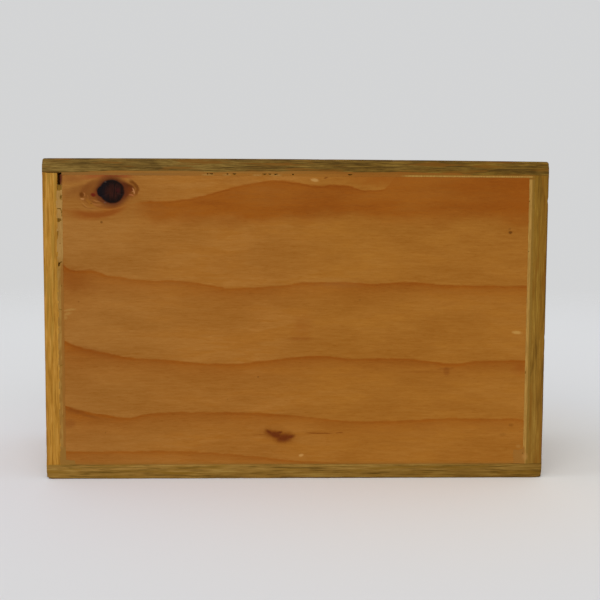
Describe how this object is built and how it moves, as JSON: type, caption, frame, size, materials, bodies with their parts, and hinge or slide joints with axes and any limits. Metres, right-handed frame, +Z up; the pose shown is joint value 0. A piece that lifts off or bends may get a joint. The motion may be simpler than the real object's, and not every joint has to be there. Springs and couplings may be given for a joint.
{
  "type": "shipping crate",
  "caption": "Small pine shipping crate of butt-jointed boards with a flush plywood base, end hand holes and a sliding plywood lid, standing on one long wall.",
  "frame": {"origin": "middle of the footprint, on the surface that the crate stands on", "axes": "+Z up as the crate stands on its lower long wall, +X along the long walls towards the end where the lid slides out, +Y from the base towards the lid"},
  "size_m": [0.5, 0.22, 0.32],
  "materials": {
    "base_ply": "orange-brown pine plywood with flat-sawn figure and satin varnish",
    "wall_lower_pine": "varnished straight-grained pine edge, mid brown",
    "wall_upper_pine": "varnished straight-grained pine edge, dark olive brown",
    "end_left_pine": "varnished pine, golden yellow",
    "end_right_pine": "varnished pine, olive brown",
    "filler": "sanded wood filler, light tan, pitted",
    "lid_ply": "pine plywood with satin varnish",
    "batten_pine": "varnished pine strip",
    "nail_steel": "dull steel wire nails"
  },
  "bodies": {
    "crate": {"long_wall_lower": "wall_lower_pine", "long_wall_upper": "wall_upper_pine", "end_wall_left": "end_left_pine", "end_wall_right": "end_right_pine", "base_panel": "base_ply", "filler_left": "filler", "filler_right": "filler", "filler_upper": "filler", "filler_chip_left": "filler", "filler_chip_right": "filler", "corner_nails_lower_left": "nail_steel", "corner_nails_lower_right": "nail_steel", "corner_nails_upper_left": "nail_steel", "corner_nails_upper_right": "nail_steel", "base_pins_lower": "nail_steel", "base_pins_upper": "nail_steel", "base_pins_left": "nail_steel", "base_pins_right": "nail_steel"},
    "lid": {"lid_panel": "lid_ply", "lid_batten": "batten_pine", "lid_pins": "nail_steel"}
  },
  "joints": [
    {"name": "lid_slide", "type": "slide", "parent": "crate", "child": "lid", "axis": [1, 0, 0], "range_m": [0, 0.495]}
  ]
}
